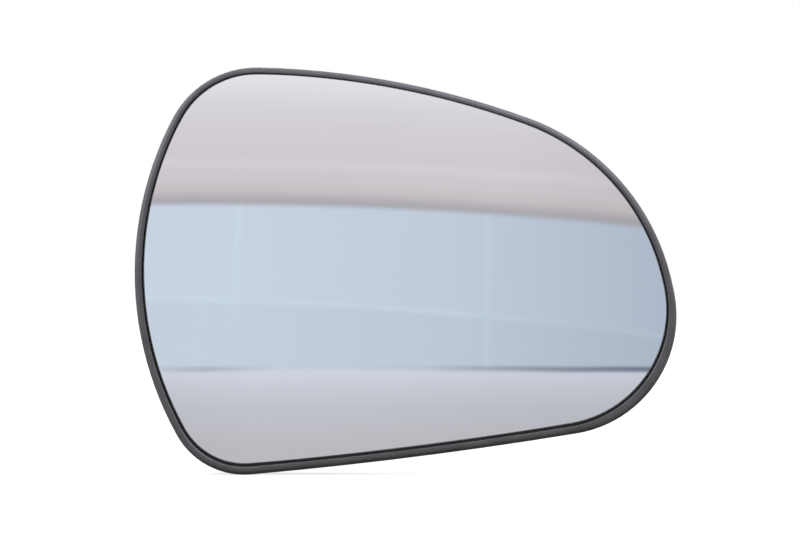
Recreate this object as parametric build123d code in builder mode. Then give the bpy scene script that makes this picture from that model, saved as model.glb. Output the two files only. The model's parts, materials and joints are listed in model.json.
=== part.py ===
import os
from math import acos, asin, cos, degrees, hypot, radians, sin, sqrt

from build123d import *

# Rim outline seen from the front, about the clip axis: four bowed sides
left_reach = 85.8
left_reach_height = -0.7
left_side_radius = 106.0
top_reach = 64.7
top_reach_offset = -52.8
right_reach = 87.6
right_reach_height = -28.2
right_side_radius = 110.0
shoulder_height = 37.0
bottom_reach = 59.5
bottom_tilt = 7.05
bottom_side_radius = 1400.0

# Round corners between the sides; the glass has an easier corner at the lower right than the rim
upper_left_radius = 29.7
shoulder_round = 40.2
lower_right_radius = 37.8
lower_left_radius = 24.6
glass_corner_ease = 1.5

# Convex glass and the layers behind it
mirror_radius = 1400.0
glass_thickness = 2.0
glass_edge_chamfer = 0.3
glass_gap = 0.5
glass_rise = 0.4
pad_thickness = 0.5
pad_margin = 4.0
pad_clearance = 0.3
floor_thickness = 2.0

# Rim bead in front and the skirt behind, both level all round; the pocket sits high in the rim
rim_width = 2.25
pocket_rise = 0.3
rim_setback = 0.8
bead_radius = 1.7
crest_chamfer = 0.2
skirt_thickness = 1.8
skirt_edge_chamfer = 0.5

# Stiffening ribs in the tray
rib_thickness = 1.4
rib_shortfall = 0.6
rib_side_angle = 14.0
hub_ring_radius = 36.0
contour_rib_inset = 14.0

# Pilot collar that takes the spigot of the adjuster
collar_bore_radius = 17.0
collar_wall = 2.0
collar_height = 6.0
collar_lead = 0.6
key_slot_width = 4.0
key_slot_depth = 3.0

# Snap hooks that hold the rim of the adjuster's carrier
hook_count = 4
hook_first_angle = 45.0
hook_inner_radius = 29.5
hook_thickness = 1.8
hook_sweep = 24.0
hook_catch = 1.4
hook_grip = 2.6
hook_land = 0.9
hook_lead = 1.7
hook_root = 0.8
hook_edge_chamfer = 0.3
hook_window_spare = 0.8
hook_window_reach = 0.3

# Fixed guide walls between the hooks
guide_thickness = 1.6
guide_height = 4.6
guide_sweep = 40.0

# Heater terminals and their windows
terminal_setback = 31.6
terminal_pitch = 13.0
terminal_width = 6.3
terminal_stock = 0.8
terminal_bend = 0.5
terminal_foot = 7.0
terminal_reach = 10.0
terminal_tip = 1.2
terminal_eye_radius = 0.8
terminal_eye_drop = 3.2
terminal_bond = 0.05
window_clearance = 1.0
window_frame = 1.2

# Levels along the clip axis, which is Y, with the front at -Y
pad_back = glass_thickness + pad_thickness
floor_back = pad_back + floor_thickness
glass_front = -(collar_height + floor_back)
rim_front = glass_front + rim_setback
rooting = floor_thickness / 3
dome_centre = glass_front + mirror_radius
glass_inset = rim_width + glass_gap
pad_inset = glass_inset + pad_margin
bonded_rise = pocket_rise + glass_rise

# The top side falls from its highest point to the shoulder, where it meets the right side
shoulder_lift = shoulder_height - right_reach_height
shoulder_offset = right_reach - right_side_radius + sqrt(right_side_radius**2 - shoulder_lift**2)
shoulder_run = shoulder_offset - top_reach_offset
shoulder_drop = top_reach - shoulder_height
top_side_radius = (shoulder_run**2 + shoulder_drop**2) / (2 * shoulder_drop)

# Radius with which the shoulder's round takes up its length of the right side
shoulder_turn = acos(shoulder_lift / right_side_radius) - asin(shoulder_run / top_side_radius)
turn_rate = shoulder_turn / shoulder_round
bow_step = 1 / right_side_radius - 1 / top_side_radius
upper_right_radius = 1 / (1 / right_side_radius + turn_rate**2 / (bow_step + 2 * turn_rate))


def dome_level(depth, radius):
    # Level of the dome at a depth behind the glass front and a radius from the axis
    dome = mirror_radius - depth
    return dome_centre - sqrt(dome * dome - radius * radius)


def outline(inset, rise=0, ease=0):
    # Rim outline moved inward by an even amount and then up: bowed sides first, then the corners
    bottom_lean = bottom_side_radius * sin(radians(bottom_tilt))
    bottom_rise = bottom_side_radius * cos(radians(bottom_tilt))
    with BuildSketch() as face:
        with Locations((left_side_radius - left_reach, left_reach_height)):
            Circle(left_side_radius - inset)
        with Locations((top_reach_offset, top_reach - top_side_radius)):
            Circle(top_side_radius - inset, mode=Mode.INTERSECT)
        with Locations((right_reach - right_side_radius, right_reach_height)):
            Circle(right_side_radius - inset, mode=Mode.INTERSECT)
        with Locations((-bottom_lean, bottom_rise - bottom_reach)):
            Circle(bottom_side_radius - inset, mode=Mode.INTERSECT)
        left_pair = face.vertices().sort_by(Axis.X)[:2].sort_by(Axis.Y)
        right_pair = face.vertices().sort_by(Axis.X)[2:].sort_by(Axis.Y)
        corners = (
            (left_pair[1], upper_left_radius),
            (right_pair[1], upper_right_radius),
            (right_pair[0], lower_right_radius + ease),
            (left_pair[0], lower_left_radius),
        )
        for corner, corner_radius in corners:
            nearest = face.vertices().sort_by_distance(corner.center())[0]
            fillet(nearest, radius=corner_radius - inset)
    return face.sketch.moved(Location((0, rise, 0)))


def prism(drawing, front, back):
    # Straight prism of a drawing between two levels
    with BuildPart() as block:
        with BuildSketch(Plane.XZ.offset(-back)):
            add(drawing)
        extrude(amount=back - front)
    return block.part


def domed(drawing, front, back):
    # Sheet of a drawing between two depths behind the glass front
    with BuildPart() as sheet:
        add(prism(drawing, 2 * glass_front, -glass_front))
        with Locations((0, dome_centre, 0)):
            Sphere(mirror_radius - front, mode=Mode.INTERSECT)
            Sphere(mirror_radius - back, mode=Mode.SUBTRACT)
    return sheet.part


with BuildPart() as mirror_glass:
    add(domed(outline(glass_inset, bonded_rise, glass_corner_ease), 0, glass_thickness))
    domes = mirror_glass.faces().filter_by(GeomType.SPHERE)
    chamfer(domes.sort_by(Axis.Y)[0].edges(), length=glass_edge_chamfer)

with BuildPart() as heater_pad:
    add(domed(outline(pad_inset, bonded_rise, glass_corner_ease), glass_thickness, pad_back))

# One hook as a profile turned about the clip axis, with its catch facing inward
hook_outer_radius = hook_inner_radius + hook_thickness
catch_radius = hook_inner_radius - hook_catch
hook_floor = dome_level(floor_back, hook_inner_radius)
catch_under = collar_lead + hook_grip
hook_tip = catch_under + hook_land + hook_lead
with BuildPart() as hook:
    with BuildSketch(Plane.XY) as hook_profile:
        with BuildLine():
            Polyline(
                (hook_inner_radius, hook_floor - rooting),
                (hook_outer_radius + hook_root, hook_floor - rooting),
                (hook_outer_radius + hook_root, hook_floor),
                (hook_outer_radius, hook_floor + hook_root),
                (hook_outer_radius, hook_tip),
                (catch_radius + hook_lead, hook_tip),
                (catch_radius, catch_under + hook_land),
                (catch_radius, catch_under),
                (hook_inner_radius, catch_under),
                close=True,
            )
        make_face()
        tip_corners = hook_profile.vertices().group_by(Axis.Y)[-1]
        catch_corners = hook_profile.vertices().group_by(Axis.X)[0]
        chamfer(tip_corners + catch_corners, length=hook_edge_chamfer)
    revolve(axis=Axis.Y, revolution_arc=hook_sweep)

# Mould window in the floor below one catch
window_sweep = hook_sweep + 2 * hook_window_spare
with BuildPart() as hook_window:
    with BuildSketch(Plane.XY):
        with Locations((hook_inner_radius, hook_floor)):
            Rectangle(
                hook_catch + hook_window_reach,
                3 * floor_thickness,
                align=(Align.MAX, Align.CENTER),
            )
    revolve(axis=Axis.Y, revolution_arc=window_sweep)

# One fixed guide wall
with BuildPart() as guide:
    with BuildSketch(Plane.XY):
        with Locations((hook_inner_radius, hook_floor - rooting)):
            Rectangle(guide_thickness, guide_height + rooting, align=(Align.MIN, Align.MIN))
    revolve(axis=Axis.Y, revolution_arc=guide_sweep)

# Ribs, rings and window frames of the tray as one flat drawing
hook_turns = [hook_first_angle + 360 * k / hook_count for k in range(hook_count)]
guide_turns = [turn + 180 / hook_count for turn in hook_turns]
rib_turns = hook_turns + [turn + rib_side_angle for turn in guide_turns]
rib_turns += [turn - rib_side_angle for turn in guide_turns]
terminal_offset = right_reach - terminal_setback
window_length = terminal_foot + 2 * window_clearance
window_width = terminal_width + 2 * window_clearance
terminal_places = [(terminal_offset, terminal_pitch / 2), (terminal_offset, -terminal_pitch / 2)]
with BuildSketch() as tray_ribs:
    for turn in rib_turns:
        with Locations(Rotation(0, 0, turn)):
            Rectangle(left_reach + right_reach, rib_thickness, align=(Align.MIN, Align.CENTER))
    with BuildSketch():
        add(outline(contour_rib_inset))
        add(outline(contour_rib_inset + rib_thickness), mode=Mode.SUBTRACT)
    Circle(hub_ring_radius + rib_thickness)
    Circle(hub_ring_radius, mode=Mode.SUBTRACT)
    with Locations(*terminal_places):
        Rectangle(window_length + 2 * window_frame, window_width + 2 * window_frame)
    add(outline(skirt_thickness / 2), mode=Mode.INTERSECT)

# Everything that stands up behind the floor
with BuildPart() as back_features:
    add(prism(tray_ribs.sketch, glass_front, -rib_shortfall))
    with BuildSketch(Plane.XZ.offset(-collar_lead)):
        Circle(collar_bore_radius + collar_wall)
        Circle(collar_bore_radius, mode=Mode.SUBTRACT)
    extrude(amount=collar_lead - glass_front)
    with Locations((0, dome_centre, 0)):
        Sphere(mirror_radius - floor_back + rooting, mode=Mode.INTERSECT)
    rims = back_features.edges().filter_by(GeomType.CIRCLE)
    bore_rims = rims.filter_by(lambda edge: abs(edge.radius - collar_bore_radius) < 0.001)
    chamfer(bore_rims.sort_by(Axis.Y)[-1], length=collar_lead)
    with Locations((0, 0, collar_bore_radius)):
        Box(key_slot_width, 2 * key_slot_depth, 4 * collar_wall, mode=Mode.SUBTRACT)
    for turn in hook_turns:
        add(hook.part, rotation=(0, -turn - hook_sweep / 2, 0))
    for turn in guide_turns:
        add(guide.part, rotation=(0, -turn - guide_sweep / 2, 0))

# Everything that is cut through the floor
with BuildPart() as windows:
    for turn in hook_turns:
        add(hook_window.part, rotation=(0, -turn - window_sweep / 2, 0))
    with BuildSketch(Plane.XZ):
        with Locations(*terminal_places):
            Rectangle(window_length, window_width)
    extrude(amount=-glass_front)

# Holder: a level rim block, hollowed to the dome from the front and from the back
with BuildPart() as backing_plate:
    add(prism(outline(0), rim_front, 0))
    fillet(backing_plate.faces().sort_by(Axis.Y)[0].edges(), radius=bead_radius)
    chamfer(backing_plate.faces().sort_by(Axis.Y)[-1].edges(), length=skirt_edge_chamfer)
    pocket = outline(rim_width, pocket_rise, glass_corner_ease)
    add(domed(pocket, -floor_back, glass_thickness), mode=Mode.SUBTRACT)
    crest_face = backing_plate.faces().filter_by(GeomType.PLANE).sort_by(Axis.Y)[0]
    chamfer(crest_face.inner_wires()[0].edges(), length=crest_chamfer)
    pad_recess = outline(pad_inset - pad_clearance, bonded_rise, glass_corner_ease)
    add(domed(pad_recess, 0, pad_back), mode=Mode.SUBTRACT)
    add(domed(outline(skirt_thickness), floor_back, -2 * glass_front), mode=Mode.SUBTRACT)
    add(back_features.part)
    add(windows.part, mode=Mode.SUBTRACT)

# One heater terminal, bent from strip, with its foot at the origin
with BuildPart() as terminal:
    with BuildSketch(Plane.XY) as strip:
        with BuildLine():
            Polyline(
                (-terminal_foot / 2, 0),
                (terminal_foot / 2, 0),
                (terminal_foot / 2, terminal_stock),
                (terminal_stock - terminal_foot / 2, terminal_stock),
                (terminal_stock - terminal_foot / 2, terminal_reach),
                (-terminal_foot / 2, terminal_reach),
                close=True,
            )
        make_face()
        heel = strip.vertices().sort_by_distance((-terminal_foot / 2, 0))[0]
        fillet(heel, radius=terminal_bend + terminal_stock)
        crook = strip.vertices().sort_by_distance((terminal_stock - terminal_foot / 2, terminal_stock))[0]
        fillet(crook, radius=terminal_bend)
    extrude(amount=terminal_width / 2, both=True)
    chamfer(terminal.edges().filter_by(Axis.X).group_by(Axis.Y)[-1], length=terminal_tip)
    with Locations((-terminal_foot / 2, terminal_reach - terminal_eye_drop, 0)):
        Cylinder(terminal_eye_radius, 4 * terminal_stock, rotation=(0, 90, 0), mode=Mode.SUBTRACT)

# Both terminals stand square on the back of the pad
terminal_lean = degrees(asin(terminal_offset / (mirror_radius - pad_back)))
terminal_seat = dome_level(pad_back, hypot(terminal_offset, terminal_pitch / 2)) + terminal_bond
with BuildPart() as heater_terminal_upper:
    with Locations(Location((terminal_offset, terminal_seat, terminal_pitch / 2), (0, 0, terminal_lean))):
        add(terminal.part)

with BuildPart() as heater_terminal_lower:
    with Locations(Location((terminal_offset, terminal_seat, -terminal_pitch / 2), (0, 0, terminal_lean))):
        add(terminal.part)

os.makedirs("parts", exist_ok=True)
mirror_glass.part.label = "mirror_glass"
export_step(mirror_glass.part, "parts/mirror_glass.step")
heater_pad.part.label = "heater_pad"
export_step(heater_pad.part, "parts/heater_pad.step")
backing_plate.part.label = "backing_plate"
export_step(backing_plate.part, "parts/backing_plate.step")
heater_terminal_upper.part.label = "heater_terminal_upper"
export_step(heater_terminal_upper.part, "parts/heater_terminal_upper.step")
heater_terminal_lower.part.label = "heater_terminal_lower"
export_step(heater_terminal_lower.part, "parts/heater_terminal_lower.step")
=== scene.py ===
import bpy
import json
import math
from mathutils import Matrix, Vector

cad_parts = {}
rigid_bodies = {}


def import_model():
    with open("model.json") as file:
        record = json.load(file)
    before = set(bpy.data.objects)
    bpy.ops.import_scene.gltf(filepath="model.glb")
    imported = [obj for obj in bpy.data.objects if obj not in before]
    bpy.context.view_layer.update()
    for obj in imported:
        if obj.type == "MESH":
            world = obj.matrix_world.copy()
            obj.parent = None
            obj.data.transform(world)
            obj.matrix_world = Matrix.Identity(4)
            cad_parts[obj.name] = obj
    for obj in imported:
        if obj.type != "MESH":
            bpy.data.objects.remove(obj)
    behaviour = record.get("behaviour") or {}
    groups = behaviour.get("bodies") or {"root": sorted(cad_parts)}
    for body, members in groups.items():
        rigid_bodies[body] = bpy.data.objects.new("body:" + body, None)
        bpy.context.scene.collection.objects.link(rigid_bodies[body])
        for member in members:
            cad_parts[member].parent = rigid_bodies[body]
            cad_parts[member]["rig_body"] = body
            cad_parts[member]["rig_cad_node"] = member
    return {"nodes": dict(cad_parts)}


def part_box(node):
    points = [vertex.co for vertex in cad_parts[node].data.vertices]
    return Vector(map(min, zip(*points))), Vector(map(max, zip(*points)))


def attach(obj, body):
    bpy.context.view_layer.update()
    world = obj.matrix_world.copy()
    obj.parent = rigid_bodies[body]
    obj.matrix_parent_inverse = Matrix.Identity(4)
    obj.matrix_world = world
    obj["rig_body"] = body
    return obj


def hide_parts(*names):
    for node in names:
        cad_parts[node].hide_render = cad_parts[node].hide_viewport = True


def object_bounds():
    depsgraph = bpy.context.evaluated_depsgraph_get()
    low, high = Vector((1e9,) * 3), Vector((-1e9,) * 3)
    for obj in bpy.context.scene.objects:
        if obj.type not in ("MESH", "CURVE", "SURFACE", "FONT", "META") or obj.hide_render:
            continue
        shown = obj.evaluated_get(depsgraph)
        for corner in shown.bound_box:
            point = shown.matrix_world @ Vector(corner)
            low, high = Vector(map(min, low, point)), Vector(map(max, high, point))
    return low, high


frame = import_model()
cadLow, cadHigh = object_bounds()
print("frame loaded with", len(frame["nodes"]), "nodes")

noiseLow = 0.3  # most values of a noise texture lie between these two
noiseHigh = 0.7
bandLength = math.pi / 10  # length in metres of one band of a wave texture at scale 1


def toLinear(hexColour):  # sRGB hex to the linear colour that shaders take
    channels = [int(hexColour[i:i + 2], 16) / 255 for i in (1, 3, 5)]
    linear = [c / 12.92 if c <= 0.04045 else ((c + 0.055) / 1.055) ** 2.4 for c in channels]
    return (*linear, 1.0)


def addNode(tree, kind, inputs=None, **settings):  # one node with its settings, values and links
    node = tree.nodes.new(kind)
    for name, value in settings.items():
        setattr(node, name, value)
    for socket, value in (inputs or {}).items():
        if isinstance(value, bpy.types.NodeSocket):
            tree.links.new(value, node.inputs[socket])
        else:
            node.inputs[socket].default_value = value
    return node


def fillRamp(ramp, stops):  # colour stops as (place, colour)
    for _ in stops[2:]:  # a new ramp has two stops
        ramp.elements.new(1.0)
    for element, (place, colour) in zip(ramp.elements, stops):
        element.position = place
        element.color = colour


def newMaterial(name):  # an empty node tree with its output
    material = bpy.data.materials.new(name)
    material.use_nodes = True
    tree = material.node_tree
    tree.nodes.clear()
    output = addNode(tree, "ShaderNodeOutputMaterial")
    return material, tree, output


# Convex glass: the CAD shape with the normals of its true dome, so that reflections run smoothly
glassSet = {
    "domeRadius": 1.4,
    "faceCosine": 0.995,  # steeper faces belong to the ground edge
    "mergeDistance": 0.00001,
    "silver": {
        "clean": "#ecedef", "hazed": "#eaebed",
        "hazeMm": 22, "hazeFrom": 0.35, "smooth": 0.006, "dull": 0.016,
    },
    "edge": {"dark": "#86928e", "light": "#acb7b3", "grainMm": 0.25, "roughness": 0.55, "ior": 1.52},
    "lacquer": {"dark": "#6b6d70", "light": "#7b7d80", "mottleMm": 3, "roughness": 0.6, "ior": 1.5},
}


def silveredFront():
    # Silver behind clear glass: a bright neutral mirror, with a faint uneven wipe haze
    look = glassSet["silver"]
    material, tree, output = newMaterial("silvered_float_glass")
    place = addNode(tree, "ShaderNodeTexCoord")
    haze = addNode(tree, "ShaderNodeTexNoise", {
        "Vector": place.outputs["Object"], "Scale": 1000 / look["hazeMm"], "Detail": 3.0})
    tint = addNode(tree, "ShaderNodeMix", {
        "Factor": haze.outputs["Fac"], "A": toLinear(look["clean"]), "B": toLinear(look["hazed"])},
        data_type="RGBA")
    rough = addNode(tree, "ShaderNodeMapRange", {
        "Value": haze.outputs["Fac"], "From Min": look["hazeFrom"], "From Max": noiseHigh,
        "To Min": look["smooth"], "To Max": look["dull"]})
    shader = addNode(tree, "ShaderNodeBsdfPrincipled", {
        "Base Color": tint.outputs["Result"], "Metallic": 1.0, "Roughness": rough.outputs["Result"]})
    tree.links.new(shader.outputs[0], output.inputs[0])
    return material


def groundEdge():
    # Edge ground with a belt: grey-green and matt; its fine grit is drawn coarser, so that it shows
    look = glassSet["edge"]
    material, tree, output = newMaterial("belt_ground_glass_edge")
    place = addNode(tree, "ShaderNodeTexCoord")
    grain = addNode(tree, "ShaderNodeTexNoise", {
        "Vector": place.outputs["Object"], "Scale": 1000 / look["grainMm"], "Detail": 2.0})
    colour = addNode(tree, "ShaderNodeValToRGB", {"Fac": grain.outputs["Fac"]})
    fillRamp(colour.color_ramp, [(noiseLow, toLinear(look["dark"])), (noiseHigh, toLinear(look["light"]))])
    shader = addNode(tree, "ShaderNodeBsdfPrincipled", {
        "Base Color": colour.outputs["Color"], "Roughness": look["roughness"], "IOR": look["ior"]})
    tree.links.new(shader.outputs[0], output.inputs[0])
    return material


def backLacquer():
    # Grey lacquer over the silver: dull, with the mottle of a curtain coater
    look = glassSet["lacquer"]
    material, tree, output = newMaterial("mirror_back_lacquer")
    place = addNode(tree, "ShaderNodeTexCoord")
    mottle = addNode(tree, "ShaderNodeTexNoise", {
        "Vector": place.outputs["Object"], "Scale": 1000 / look["mottleMm"], "Detail": 4.0})
    colour = addNode(tree, "ShaderNodeValToRGB", {"Fac": mottle.outputs["Fac"]})
    fillRamp(colour.color_ramp, [(noiseLow, toLinear(look["dark"])), (noiseHigh, toLinear(look["light"]))])
    shader = addNode(tree, "ShaderNodeBsdfPrincipled", {
        "Base Color": colour.outputs["Color"], "Roughness": look["roughness"], "IOR": look["ior"]})
    tree.links.new(shader.outputs[0], output.inputs[0])
    return material


def makeGlass():
    look = glassSet
    bpy.ops.object.select_all(action="DESELECT")
    node = frame["nodes"]["mirror_glass"]
    node.select_set(True)
    bpy.context.view_layer.objects.active = node
    bpy.ops.object.duplicate()
    glass = bpy.context.view_layer.objects.active
    glass.name = "convex_mirror_glass"
    for key in ("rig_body", "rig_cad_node"):  # the copy is a piece of its own
        del glass[key]
    bpy.ops.object.mode_set(mode="EDIT")
    bpy.ops.mesh.select_all(action="SELECT")
    bpy.ops.mesh.customdata_custom_splitnormals_clear()
    bpy.ops.mesh.remove_doubles(threshold=look["mergeDistance"])
    bpy.ops.object.mode_set(mode="OBJECT")
    mesh = glass.data
    mesh.materials.clear()
    for material in (silveredFront(), groundEdge(), backLacquer()):
        mesh.materials.append(material)
    domeCentre = Vector((0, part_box("mirror_glass")[0].y + look["domeRadius"], 0))
    normals = []
    for face in mesh.polygons:
        isFront = face.normal.y < -look["faceCosine"]
        isBack = face.normal.y > look["faceCosine"]
        face.material_index = 0 if isFront else 2 if isBack else 1  # front, back or edge, in the order above
        for corner in face.vertices:  # dome normals on the two faces, flat ones on the ground edge
            outward = (mesh.vertices[corner].co - domeCentre).normalized()
            normals.append(outward if isFront else -outward if isBack else face.normal)
    mesh.shade_smooth()
    mesh.normals_split_custom_set(normals)
    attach(glass, "root")
    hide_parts("mirror_glass")
    print("glass made with", len(mesh.polygons), "faces")


# Holder: one dark moulding with a satin, finely grained skin
holderSet = {
    "dark": "#363433",
    "light": "#444241",
    "mottleMm": 9,
    "grainMm": 0.3,  # coarser than the real grain, so that it shows
    "grainHeight": 0.00002,
    "grainStrength": 0.5,
    "satin": 0.38,
    "dull": 0.52,
    "ior": 1.49,
}


def holderPlastic():
    # Polypropylene from a spark-eroded mould: dark grey, satin, with a grain that softens highlights
    look = holderSet
    material, tree, output = newMaterial("satin_moulded_polypropylene")
    place = addNode(tree, "ShaderNodeTexCoord")
    mottle = addNode(tree, "ShaderNodeTexNoise", {
        "Vector": place.outputs["Object"], "Scale": 1000 / look["mottleMm"], "Detail": 5.0})
    grain = addNode(tree, "ShaderNodeTexNoise", {
        "Vector": place.outputs["Object"], "Scale": 1000 / look["grainMm"], "Detail": 2.0})
    colour = addNode(tree, "ShaderNodeValToRGB", {"Fac": mottle.outputs["Fac"]})
    fillRamp(colour.color_ramp, [(noiseLow, toLinear(look["dark"])), (noiseHigh, toLinear(look["light"]))])
    rough = addNode(tree, "ShaderNodeMapRange", {
        "Value": grain.outputs["Fac"], "From Min": noiseLow, "From Max": noiseHigh,
        "To Min": look["satin"], "To Max": look["dull"]})
    bump = addNode(tree, "ShaderNodeBump", {
        "Height": grain.outputs["Fac"], "Distance": look["grainHeight"], "Strength": look["grainStrength"]})
    shader = addNode(tree, "ShaderNodeBsdfPrincipled", {
        "Base Color": colour.outputs["Color"], "Roughness": rough.outputs["Result"],
        "IOR": look["ior"], "Normal": bump.outputs["Normal"]})
    tree.links.new(shader.outputs[0], output.inputs[0])
    return material


# Heater film: polyester sheet with a printed carbon track
filmSet = {
    "base": "#3f4246",
    "track": "#22242a",
    "pitchMm": 3.2,
    "trackEdge": (0.45, 0.55),  # levels of the wave between which track turns to bare film
    "roughness": 0.5,
    "ior": 1.6,
}


def heaterFilm():
    # Screen-printed polyester: dark tracks in even rows on a grey film, slightly glossy
    look = filmSet
    material, tree, output = newMaterial("printed_polyester_heater_film")
    place = addNode(tree, "ShaderNodeTexCoord")
    rows = addNode(tree, "ShaderNodeTexWave", {
        "Vector": place.outputs["Object"], "Scale": bandLength * 1000 / look["pitchMm"]},
        wave_type="BANDS", bands_direction="Z")
    colour = addNode(tree, "ShaderNodeValToRGB", {"Fac": rows.outputs["Fac"]})
    trackEnd, filmStart = look["trackEdge"]
    fillRamp(colour.color_ramp, [(trackEnd, toLinear(look["track"])), (filmStart, toLinear(look["base"]))])
    shader = addNode(tree, "ShaderNodeBsdfPrincipled", {
        "Base Color": colour.outputs["Color"], "Roughness": look["roughness"], "IOR": look["ior"]})
    tree.links.new(shader.outputs[0], output.inputs[0])
    return material


# Terminals: tinned brass strip, blanked and bent
terminalSet = {
    "bright": "#d3d0c9",
    "dull": "#b3afa6",
    "streakMm": 0.4,
    "streakStretch": 0.04,  # streaks run along the blade
    "smooth": 0.24,
    "worn": 0.4,
}


def tinnedBrass():
    # Hot-dipped tin over rolled brass: warm grey metal with rolling streaks along the blade
    look = terminalSet
    material, tree, output = newMaterial("tinned_rolled_brass")
    place = addNode(tree, "ShaderNodeTexCoord")
    stretch = addNode(tree, "ShaderNodeMapping", {
        "Vector": place.outputs["Object"], "Scale": (1.0, look["streakStretch"], 1.0)})
    streaks = addNode(tree, "ShaderNodeTexNoise", {
        "Vector": stretch.outputs["Vector"], "Scale": 1000 / look["streakMm"], "Detail": 3.0})
    colour = addNode(tree, "ShaderNodeValToRGB", {"Fac": streaks.outputs["Fac"]})
    fillRamp(colour.color_ramp, [(noiseLow, toLinear(look["dull"])), (noiseHigh, toLinear(look["bright"]))])
    rough = addNode(tree, "ShaderNodeMapRange", {
        "Value": streaks.outputs["Fac"], "From Min": noiseLow, "From Max": noiseHigh,
        "To Min": look["worn"], "To Max": look["smooth"]})
    shader = addNode(tree, "ShaderNodeBsdfPrincipled", {
        "Base Color": colour.outputs["Color"], "Metallic": 1.0, "Roughness": rough.outputs["Result"]})
    tree.links.new(shader.outputs[0], output.inputs[0])
    return material


def dressNodes():
    finishes = {
        "backing_plate": holderPlastic(),
        "heater_pad": heaterFilm(),
        "heater_terminal_upper": tinnedBrass(),
    }
    finishes["heater_terminal_lower"] = finishes["heater_terminal_upper"]
    for name, material in finishes.items():
        mesh = frame["nodes"][name].data
        mesh.materials.clear()
        mesh.materials.append(material)
    print("materials on", len(finishes), "CAD nodes")


# Floor: white to the camera, with a soft shadow under the rim
floorSet = {"side": 6.0, "glow": 0.76, "white": "#847b73", "warm": "#7f766d", "mottleMm": 240}


def makeFloor():
    # Matt studio paper: plain, with a very faint warm mottle
    look = floorSet
    bpy.ops.object.select_all(action="DESELECT")
    bpy.ops.mesh.primitive_plane_add(size=look["side"], location=(0, 0, cadLow.z))
    floor = bpy.context.view_layer.objects.active
    floor.name = "studio_floor"
    floor.visible_glossy = False  # reflections show the studio and not the floor
    material, tree, output = newMaterial("white_studio_paper")
    place = addNode(tree, "ShaderNodeTexCoord")
    mottle = addNode(tree, "ShaderNodeTexNoise", {
        "Vector": place.outputs["Object"], "Scale": 1000 / look["mottleMm"]})
    colour = addNode(tree, "ShaderNodeValToRGB", {"Fac": mottle.outputs["Fac"]})
    fillRamp(colour.color_ramp, [(noiseLow, toLinear(look["warm"])), (noiseHigh, toLinear(look["white"]))])
    paper = addNode(tree, "ShaderNodeBsdfDiffuse", {"Color": colour.outputs["Color"]})
    rays = addNode(tree, "ShaderNodeLightPath")
    level = addNode(tree, "ShaderNodeMath", {
        0: rays.outputs["Is Camera Ray"], 1: look["glow"]}, operation="MULTIPLY")
    glow = addNode(tree, "ShaderNodeEmission", {"Strength": level.outputs[0]})
    both = addNode(tree, "ShaderNodeAddShader", {0: paper.outputs[0], 1: glow.outputs[0]})
    tree.links.new(both.outputs[0], output.inputs[0])
    floor.data.materials.append(material)
    print("floor at", round(cadLow.z, 4))


# World: white behind the object; the glass sees a blue panel between two pale ones
# Edges and joints of the panels are lines of view direction, at a height that falls and bows to the right
worldSet = {
    "softAbove": {"from": 0.7, "colour": "#ecf0ff", "level": 1.95},  # light on the matt surfaces
    "softBelow": {"from": -0.5, "colour": "#fff1dc", "level": 0.02},
    "upperEdge": {"height": 0.0592, "fall": 0.0475, "bow": 0.137, "soft": 0.007},
    "lowerEdge": {"height": -0.0955, "fall": 0.0, "bow": 0.0, "soft": 0.003},
    "joint": {"height": -0.0384, "fall": 0.0724, "bow": 0.127, "width": 0.005},
    "jointGlow": {"from": 0.0, "to": 0.16, "left": 0.2, "right": 0.07},
    "jointColour": "#e6faff",
    "belowJoint": 0.962,  # level of the middle panel under the long joint
    "uprights": [  # each fades towards its foot
        {"across": -0.156, "lean": 0.05, "width": 0.006, "glow": 0.24, "footGlow": 0.0},
        {"across": 0.0793, "lean": 0.015, "width": 0.0055, "glow": 0.13, "footGlow": 0.1},
    ],
    "uprightFoot": -0.07,
    "uprightHead": 0.03,
    "shadow": {"rise": 0.0016, "width": 0.0048, "colour": "#304560"},  # gap above the lower panel
    "shadowShare": [  # how much of it shows, from left to right
        (-0.240, 0.08),
        (-0.184, 0.28),
        (-0.155, 0.17),
        (-0.115, 0.0),
        (-0.065, 0.0),
        (0.022, 0.09),
        (0.045, 0.22),
        (0.140, 0.53),
        (0.215, 0.70),
    ],
    "upperPanel": [  # colours by height above the upper edge
        (0.000, "#bab8be"),
        (0.0035, "#c3bdc1"),
        (0.0095, "#d5ced0"),
        (0.020, "#dfd7db"),
        (0.028, "#e0d8dd"),
        (0.035, "#e6dfe4"),
        (0.043, "#e2dade"),
        (0.071, "#e4dfe3"),
        (0.088, "#e8e5ea"),
        (0.122, "#faf7fa"),
        (0.190, "#ffffff"),
    ],
    "middlePanel": [  # colours from left to right
        (-0.16, "#d8e4f1"),
        (0.05, "#d0dce9"),
        (0.24, "#bdc9d9"),
    ],
    "lowerPanel": [  # colours by depth below the lower edge
        (0.000, "#dee4ef"),
        (0.005, "#e0e5f0"),
        (0.012, "#dadee7"),
        (0.034, "#d1d3da"),
        (0.075, "#ccc8cd"),
        (0.141, "#c6c3c6"),
        (0.270, "#a3a2a6"),
        (0.310, "#d9dbe0"),  # a paler strip further down, seen by the glass from above
        (0.400, "#eceef2"),
        (0.440, "#a9aaaf"),
        (0.800, "#5c5a5d"),
    ],
    "upperDim": {"from": 0.08, "to": 0.22, "level": 0.92},  # the upper panel darkens to the right
    "lowerLevels": [  # levels of the lower panel from left to right
        (-0.24, 0.95),
        (-0.14, 1.0),
        (-0.02, 0.985),
        (0.19, 0.91),
        (0.24, 0.90),
    ],
}


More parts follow.
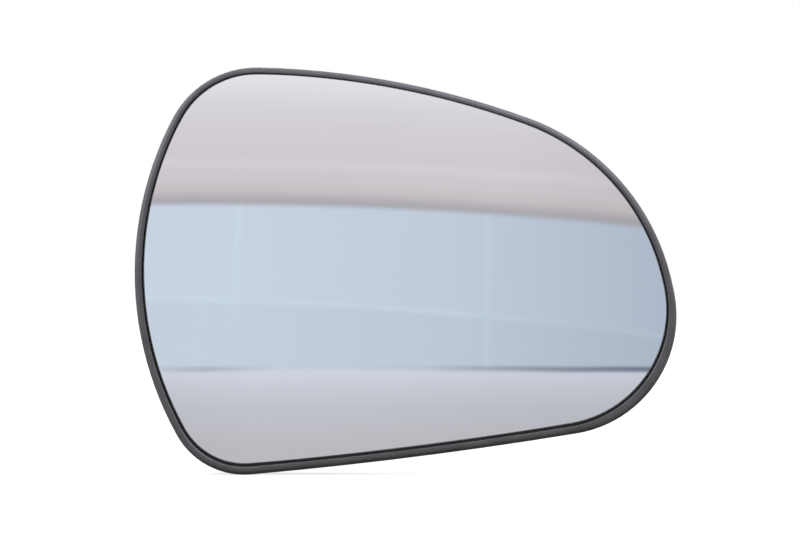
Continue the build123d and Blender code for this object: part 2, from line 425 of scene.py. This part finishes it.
def makeWorld():
    look = worldSet
    world = bpy.data.worlds.new("studio")
    bpy.context.scene.world = world
    world.use_nodes = True
    tree = world.node_tree
    tree.nodes.clear()
    output = addNode(tree, "ShaderNodeOutputWorld")
    place = addNode(tree, "ShaderNodeTexCoord")
    way = addNode(tree, "ShaderNodeSeparateXYZ", {0: place.outputs["Generated"]})
    across = way.outputs["X"]
    up = way.outputs["Z"]
    square = addNode(tree, "ShaderNodeMath", {0: across, 1: across}, operation="MULTIPLY")

    def heightOver(line):  # height of the view direction over a falling, bowed line
        bowed = addNode(tree, "ShaderNodeMath", {
            0: square.outputs[0], 1: line["bow"], 2: up}, operation="MULTIPLY_ADD")
        fallen = addNode(tree, "ShaderNodeMath", {
            0: across, 1: line["fall"], 2: bowed.outputs[0]}, operation="MULTIPLY_ADD")
        over = addNode(tree, "ShaderNodeMath", {
            0: fallen.outputs[0], 1: line["height"]}, operation="SUBTRACT")
        return over.outputs[0]

    def fade(value, start, end, low=0.0, high=1.0):  # smooth change of level between two values
        return addNode(tree, "ShaderNodeMapRange", {
            "Value": value, "From Min": start, "From Max": end, "To Min": low, "To Max": high},
            interpolation_type="SMOOTHSTEP").outputs["Result"]

    def streak(value, width, strength):  # soft line where the value is nought
        size = addNode(tree, "ShaderNodeMath", {0: value}, operation="ABSOLUTE")
        return fade(size.outputs[0], 0.0, width, strength, 0.0)

    def along(value, stops):  # linear colours along a value
        first = stops[0][0]
        last = stops[-1][0]
        share = addNode(tree, "ShaderNodeMapRange", {"Value": value, "From Min": first, "From Max": last})
        ramp = addNode(tree, "ShaderNodeValToRGB", {"Fac": share.outputs["Result"]})
        fillRamp(ramp.color_ramp, [((at - first) / (last - first), colour) for at, colour in stops])
        return ramp.outputs["Color"]

    def panel(value, stops):  # the same, with hex colours
        return along(value, [(at, toLinear(colour)) for at, colour in stops])

    def levels(value, stops):  # the same, with grey levels
        return along(value, [(at, (level, level, level, 1.0)) for at, level in stops])

    overUpper = heightOver(look["upperEdge"])
    overLower = heightOver(look["lowerEdge"])
    underLower = addNode(tree, "ShaderNodeMath", {0: overLower, 1: -1.0}, operation="MULTIPLY").outputs[0]

    # Joints of the middle panel, as paler lines on it; below the long one it is a shade darker
    overJoint = heightOver(look["joint"])
    width = look["joint"]["width"]
    span = look["jointGlow"]
    joints = streak(overJoint, width, fade(across, span["from"], span["to"], span["left"], span["right"]))
    for line in look["uprights"]:
        leant = addNode(tree, "ShaderNodeMath", {
            0: up, 1: -line["lean"], 2: across}, operation="MULTIPLY_ADD")
        aside = addNode(tree, "ShaderNodeMath", {
            0: leant.outputs[0], 1: line["across"]}, operation="SUBTRACT")
        glow = fade(up, look["uprightFoot"], look["uprightHead"], line["footGlow"], line["glow"])
        upright = streak(aside.outputs[0], line["width"], glow)
        joints = addNode(tree, "ShaderNodeMath", {0: joints, 1: upright}, operation="MAXIMUM").outputs[0]
    plain = addNode(tree, "ShaderNodeVectorMath", {
        0: panel(across, look["middlePanel"]),
        "Scale": fade(overJoint, -width, width, look["belowJoint"], 1.0)}, operation="SCALE")
    middle = addNode(tree, "ShaderNodeMix", {
        "Factor": joints, "A": plain.outputs["Vector"], "B": toLinear(look["jointColour"])},
        data_type="RGBA")

    # The pale panels darken sideways, and a shadow gap runs along the edge of the lower one
    dim = look["upperDim"]
    upper = addNode(tree, "ShaderNodeVectorMath", {
        0: panel(overUpper, look["upperPanel"]),
        "Scale": fade(across, dim["from"], dim["to"], 1.0, dim["level"])}, operation="SCALE")
    lower = addNode(tree, "ShaderNodeVectorMath", {
        0: panel(underLower, look["lowerPanel"]),
        "Scale": levels(across, look["lowerLevels"])}, operation="SCALE")
    twoPanels = addNode(tree, "ShaderNodeMix", {
        "Factor": fade(overUpper, -look["upperEdge"]["soft"], 0.0),
        "A": middle.outputs["Result"], "B": upper.outputs["Vector"]}, data_type="RGBA")
    allPanels = addNode(tree, "ShaderNodeMix", {
        "Factor": fade(underLower, -look["lowerEdge"]["soft"], 0.0),
        "A": twoPanels.outputs["Result"], "B": lower.outputs["Vector"]}, data_type="RGBA")
    gap = look["shadow"]
    overGap = addNode(tree, "ShaderNodeMath", {0: overLower, 1: gap["rise"]}, operation="SUBTRACT")
    shaded = addNode(tree, "ShaderNodeMix", {
        "Factor": streak(overGap.outputs[0], gap["width"], levels(across, look["shadowShare"])),
        "A": allPanels.outputs["Result"], "B": toLinear(gap["colour"])}, data_type="RGBA")
    studio = addNode(tree, "ShaderNodeBackground", {"Color": shaded.outputs["Result"]})

    # Soft light for the matt surfaces, strongest from above
    below = look["softBelow"]
    above = look["softAbove"]
    softColour = addNode(tree, "ShaderNodeMix", {
        "Factor": fade(up, below["from"], above["from"]),
        "A": toLinear(below["colour"]), "B": toLinear(above["colour"])}, data_type="RGBA")
    soft = addNode(tree, "ShaderNodeBackground", {
        "Color": softColour.outputs["Result"],
        "Strength": fade(up, below["from"], above["from"], below["level"], above["level"])})

    # The camera sees white, shiny surfaces see the studio, the others the soft light
    white = addNode(tree, "ShaderNodeBackground", {"Color": toLinear("#ffffff"), "Strength": 1.0})
    rays = addNode(tree, "ShaderNodeLightPath")
    shiny = addNode(tree, "ShaderNodeMath", {
        0: rays.outputs["Is Glossy Ray"], 1: rays.outputs["Is Transmission Ray"]}, operation="MAXIMUM")
    lit = addNode(tree, "ShaderNodeMixShader", {
        0: shiny.outputs[0], 1: soft.outputs[0], 2: studio.outputs[0]})
    seen = addNode(tree, "ShaderNodeMixShader", {
        0: rays.outputs["Is Camera Ray"], 1: lit.outputs[0], 2: white.outputs[0]})
    tree.links.new(seen.outputs[0], output.inputs[0])
    print("world made with", len(tree.nodes), "nodes")


# Lamps: a broad softbox overhead, a weaker one from the left and one for the ribs on the back
lampSet = {
    "overhead": {"place": (0.52, -0.25, 0.82), "size": 0.9, "power": 13.2, "colour": "#e0e8ff"},
    "left": {"place": (-0.85, -0.35, 0.45), "size": 0.7, "power": 7.6, "colour": "#e8ebff"},
    "back": {"place": (-0.45, 0.85, 0.75), "size": 0.8, "power": 10.5, "colour": "#f4f6ff"},
}


def makeLamps():
    for name, look in lampSet.items():
        lamp = bpy.data.lights.new(name + "_softbox", "AREA")
        lamp.shape = "SQUARE"
        lamp.size = look["size"]
        lamp.energy = look["power"]
        lamp.color = toLinear(look["colour"])[:3]
        softbox = bpy.data.objects.new(name + "_softbox", lamp)
        softbox.location = look["place"]
        softbox.rotation_mode = "QUATERNION"
        softbox.rotation_quaternion = (-Vector(look["place"])).to_track_quat("-Z", "Y")  # faces the part
        bpy.context.scene.collection.objects.link(softbox)
    print("lamps:", len(lampSet))


# Camera: square on, as in the photograph
cameraSet = {
    "imageSize": (800, 533),
    "metresPerPixel": 0.0003175,  # at the widest part of the rim
    "clipAxisPixel": (404.9, 270.8),
    "distance": 0.65,
    "beadDepth": 0.0017,  # from the front of the rim back to its widest part
    "sensorMm": 36.0,
}


def makeCamera():
    look = cameraSet
    width, height = look["imageSize"]
    axisX, axisY = look["clipAxisPixel"]
    data = bpy.data.cameras.new("studio_camera")
    data.sensor_width = look["sensorMm"]
    data.lens = look["sensorMm"] * look["distance"] / (width * look["metresPerPixel"])
    camera = bpy.data.objects.new("studio_camera", data)
    target = Vector((
        (width / 2 - axisX) * look["metresPerPixel"],
        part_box("backing_plate")[0].y + look["beadDepth"],
        (axisY - height / 2) * look["metresPerPixel"]))
    camera.location = target + Vector((0, -look["distance"], 0))
    camera.rotation_euler = (math.radians(90), 0, 0)
    bpy.context.scene.collection.objects.link(camera)
    bpy.context.scene.camera = camera
    print("camera lens", round(data.lens, 1), "mm")


makeGlass()
dressNodes()
makeFloor()
makeWorld()
makeLamps()
makeCamera()
bpy.context.scene.view_settings.view_transform = "Standard"
